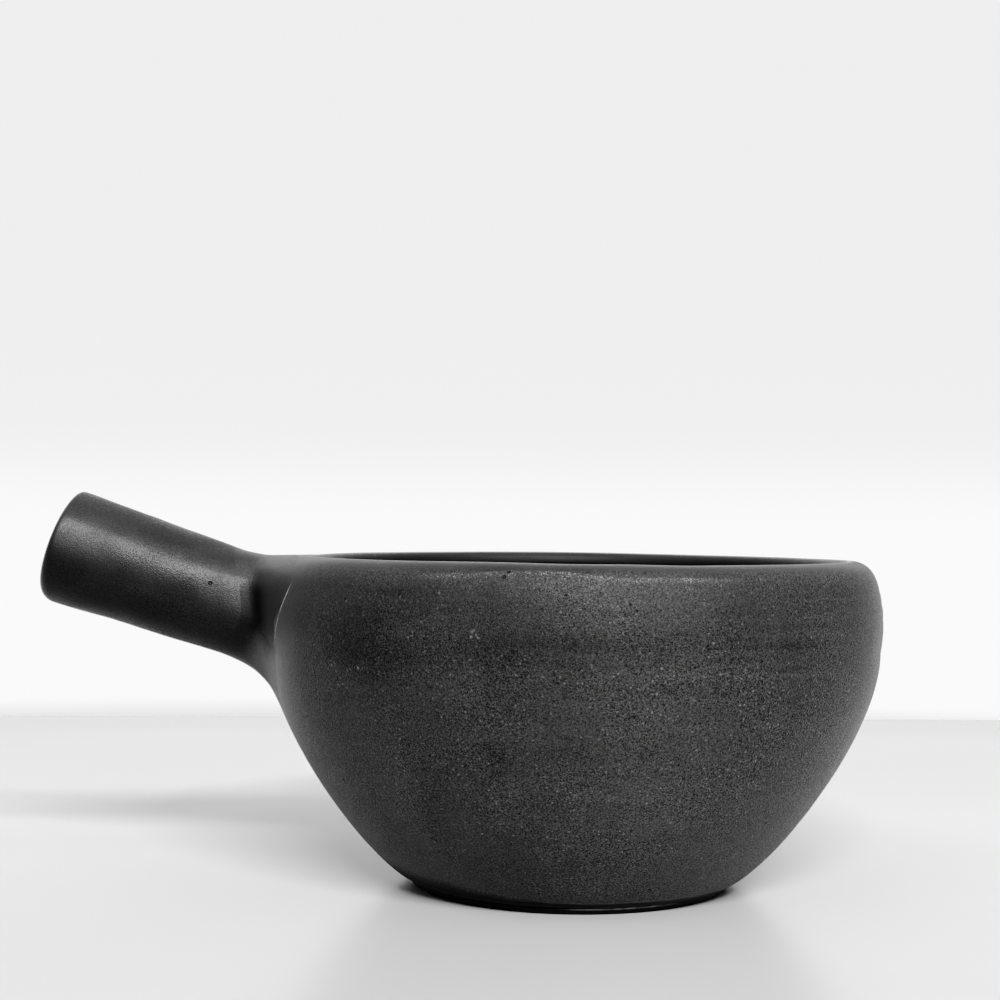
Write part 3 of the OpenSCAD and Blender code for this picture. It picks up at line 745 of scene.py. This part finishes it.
for ob, node, slot in ((bowl, "bowl", "dark_glaze"), (foot, "foot_ring", "bare_clay"), (handle, "handle", "handle_glaze"), (collar, "handle_collar", "collar_glaze")):
    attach(ob, "root")
    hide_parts(node)

# ------------------------------------------------------------------ stage
yaw = math.radians(3.6)
back_y, half_w, front_y, deep = 0.482, 2.5, -2.5, 0.03


def slab_corner(x, y, z):
    return (x, y + (math.tan(yaw) * x if y > 0 else 0.0), z)


sv = [slab_corner(x, y, z) for z in (0.0, -deep) for x, y in ((-half_w, front_y), (half_w, front_y), (half_w, back_y), (-half_w, back_y))]
me = bpy.data.meshes.new("shelf")
me.from_pydata(sv, [], [(0, 1, 2, 3), (7, 6, 5, 4), (0, 4, 5, 1), (1, 5, 6, 2), (2, 6, 7, 3), (3, 7, 4, 0)])
shelf = bpy.data.objects.new("shelf", me)
scene.collection.objects.link(shelf)
m, nt, bs = material("pale_shelf")
k = Nodes(nt)
sx, sy, sz = k.xyz()
from_back = k.math("SUBTRACT", sy, k.math("MULTIPLY", sx, math.tan(yaw)))
# painted shadow: a darker strip along the shelf's back edge
back_edge_shade = k.map(from_back, back_y - 0.10, back_y - 0.05, 0.0, 1.0)
# painted shade: the shelf in front of the pot is painted up to 13 % darker, more on the left
front_shade = k.math("SUBTRACT", 1.0, k.math("MULTIPLY", k.map(sy, -0.20, 0.12, 1.0, 0.0), k.map(sx, -0.15, 0.12, 0.132, 0.104)))
nt.links.new(k.mix(back_edge_shade, k.math("MULTIPLY", k.map(k.noise(6, 2.0), 0.3, 0.7, 0.256, 0.265), front_shade), 0.249), bs.inputs["Base Color"])
bs.inputs["Roughness"].default_value = 0.25
bs.inputs["Specular IOR Level"].default_value = 0.3
shelf.data.materials.append(m)

# ------------------------------------------------------------------ light
world = bpy.data.worlds.new("studio")
scene.world = world
world.use_nodes = True
nt = world.node_tree
nt.nodes.clear()
wout = nt.nodes.new("ShaderNodeOutputWorld")
bg = nt.nodes.new("ShaderNodeBackground")
nt.links.new(bg.outputs[0], wout.inputs[0])
k = Nodes(nt)
sep = nt.nodes.new("ShaderNodeSeparateXYZ")
nt.links.new(nt.nodes["Texture Coordinate"].outputs["Generated"], sep.inputs[0])
X, Y, Z = sep.outputs
front = k.math("ADD", k.map(X, 0.0, 0.80, 0.03, 0.42), k.map(Z, 0.10, 0.48, 0.0, 0.35))
turned = k.math("ADD", Y, k.math("MULTIPLY", X, 0.40))
wall_side = k.map(turned, -0.30, 0.15, 0.0, 1.0)
room = k.math("ADD", k.math("MULTIPLY", wall_side, 1.02), k.math("MULTIPLY", k.math("SUBTRACT", 1.0, wall_side), front))
ceil = k.map(Z, 0.35, 0.80, 0.0, 1.0)
sides = k.map(k.math("ABSOLUTE", X), 0.50, 0.92, 0.0, 0.55)
room = k.math("ADD", room, k.math("MULTIPLY", sides, k.math("SUBTRACT", 1.0, wall_side)))
room = k.math("ADD", k.math("MULTIPLY", ceil, 0.88), k.math("MULTIPLY", k.math("SUBTRACT", 1.0, ceil), room))
lamps = k.math("MULTIPLY", k.map(Z, 0.765, 0.79, 0.0, 1.0), k.map(Z, 0.82, 0.845, 1.0, 0.0))
lamps = k.math("MULTIPLY", lamps, k.map(Y, -0.30, -0.02, 1.0, 0.0))
room = k.math("ADD", room, k.math("MULTIPLY", lamps, 10.0))
# painted light and shade on the backdrop seen by the camera: brightest at the horizon and darker upwards, with a
# painted shadow in a band just below the horizon where the wall would meet the shelf
above = k.map(Z, 0.0, 0.065, 0.957, 0.872)
above = k.math("SUBTRACT", above, k.map(Z, 0.065, 0.16, 0.0, 0.01))
below = k.map(Z, -0.113, -0.098, -0.18, 0.0)
shown = k.math("ADD", above, below)
path = nt.nodes.new("ShaderNodeLightPath")
cam_ray = path.outputs["Is Camera Ray"]
light = k.math("ADD", k.math("MULTIPLY", cam_ray, shown), k.math("MULTIPLY", k.math("SUBTRACT", 1.0, cam_ray), room))
nt.links.new(light, bg.inputs["Color"])


def panel(name, az, el, dist, wide, high, power):
    """A soft panel that faces the pot. Azimuth 0 is behind the camera, and grows to the right."""
    a, e_ = math.radians(az), math.radians(el)
    d = Vector((math.sin(a) * math.cos(e_), -math.cos(a) * math.cos(e_), math.sin(e_)))
    data = bpy.data.lights.new(name, "AREA")
    data.shape = "RECTANGLE"; data.size = wide; data.size_y = high; data.energy = power
    ob = bpy.data.objects.new(name, data)
    ob.location = Vector((0, 0, 0.09)) + d * dist
    ob.rotation_mode = "QUATERNION"
    ob.rotation_quaternion = (-d).to_track_quat("-Z", "Y")
    scene.collection.objects.link(ob)
    ob.visible_camera = False
    return ob


panel("key_panel", 9, 35.5, 2.8, 1.6, 0.16, 155)
# more of the same light, without a reflection of its own
panel("key_soft", 9, 35.5, 2.8, 1.6, 0.16, 120).visible_glossy = False
# a soft fill for the far side, on the pot only
fill = panel("far_fill", 186, 32, 2.4, 2.2, 1.0, 150)
fill.visible_glossy = False
pot = bpy.data.collections.new("pot")
for ob in (bowl, foot, handle, collar):
    pot.objects.link(ob)
fill.light_linking.receiver_collection = pot

# ------------------------------------------------------------------ camera
cam_data = bpy.data.cameras.new("camera")
cam_data.sensor_width, cam_data.lens = 36.0, 61.2
cam_data.clip_start, cam_data.clip_end = 0.01, 20.0
cam = bpy.data.objects.new("camera", cam_data)
scene.collection.objects.link(cam)
cam.matrix_world = Matrix.Translation((-0.02455, -0.56844, 0.11688)) @ Matrix.Rotation(math.pi / 2 + 0.01632, 4, "X") @ Matrix.Rotation(0.01215, 4, "Z")
scene.camera = cam
scene.view_settings.view_transform = "Standard"
scene.view_settings.look = "None"
# a little more contrast, as on a black-and-white print
scene.view_settings.use_curve_mapping = True
curve = scene.view_settings.curve_mapping
tones = curve.curves[3]
tones.points[0].location = (0.0, 0.0)
tones.points[1].location = (1.0, 1.0)
for at in ((0.012, 0.002), (0.03, 0.017), (0.05, 0.043), (0.10, 0.125), (0.18, 0.265), (0.40, 0.46), (0.80, 0.80)):
    tones.points.new(*at)
curve.update()
